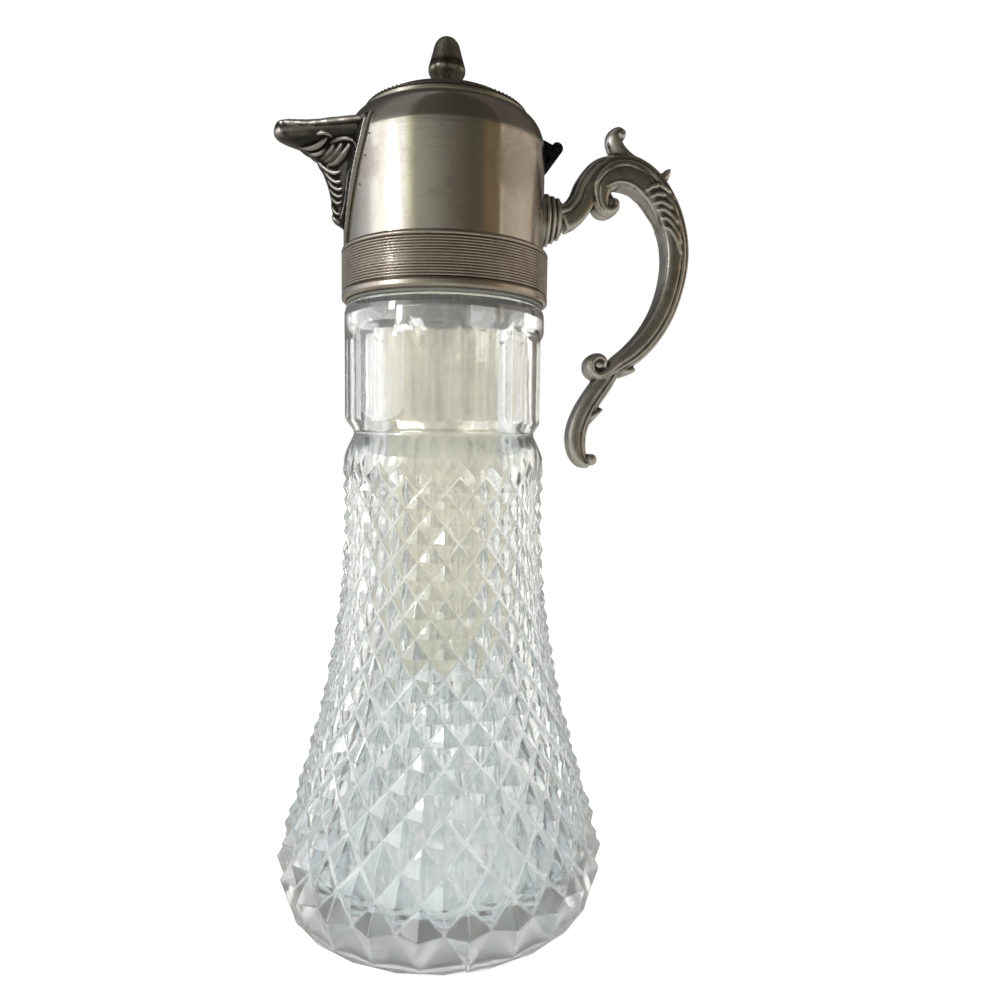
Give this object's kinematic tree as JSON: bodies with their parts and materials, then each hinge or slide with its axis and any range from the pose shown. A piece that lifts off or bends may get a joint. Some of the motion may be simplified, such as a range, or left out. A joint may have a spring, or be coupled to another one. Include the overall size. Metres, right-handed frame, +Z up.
{
  "type": "claret jug",
  "caption": "Claret jug: cut-glass bottle with a lift-off metal pouring mount, hinged beaded lid with bud finial, side spout, scroll handle and an ice tube hanging inside.",
  "frame": {"origin": "centre of the flat base the jug stands on", "axes": "+Z up along the jug's axis, +X towards the handle and the lid hinge, -X towards the spout"},
  "size_m": [0.1562, 0.124, 0.3084],
  "materials": {
    "pressed_glass": "clear, pressed diamonds",
    "tube_glass": "clear, slightly yellow blown glass",
    "clear_plastic": "soft translucent plastic",
    "plated_sheet": "polished silver plate, lightly tarnished",
    "plated_casting": "antiqued silver plate, dark in the recesses",
    "dark_hinge": "blackened",
    "fastener": "plain turned"
  },
  "bodies": {
    "bottle": {"glass_bottle": "pressed_glass"},
    "mount": {"neck_gasket": "clear_plastic", "mount_shell": "plated_sheet", "reeded_collar": "plated_sheet", "spout": "plated_casting", "handle": "plated_casting", "handle_ferrule": "plated_casting", "handle_screw": "fastener", "handle_washer": "fastener", "tube_seat": "plated_sheet", "tube_cushion": "clear_plastic", "ice_tube": "tube_glass", "hinge_bracket": "dark_hinge", "hinge_pin": "dark_hinge"},
    "lid": {"lid": "plated_sheet", "bead_ring": "plated_sheet", "lid_hinge_leaf": "dark_hinge", "finial": "plated_casting", "finial_washer": "fastener", "finial_nut": "fastener"}
  },
  "joints": [
    {"name": "mount_lift", "type": "slide", "parent": "bottle", "child": "mount", "axis": [0, 0, 1], "range_m": [0, 0.16]},
    {"name": "lid_hinge", "type": "hinge", "parent": "mount", "child": "lid", "pos_m": [0.0395, 0, 0.2725], "axis": [0, 1, 0], "range_deg": [0, 100]}
  ]
}
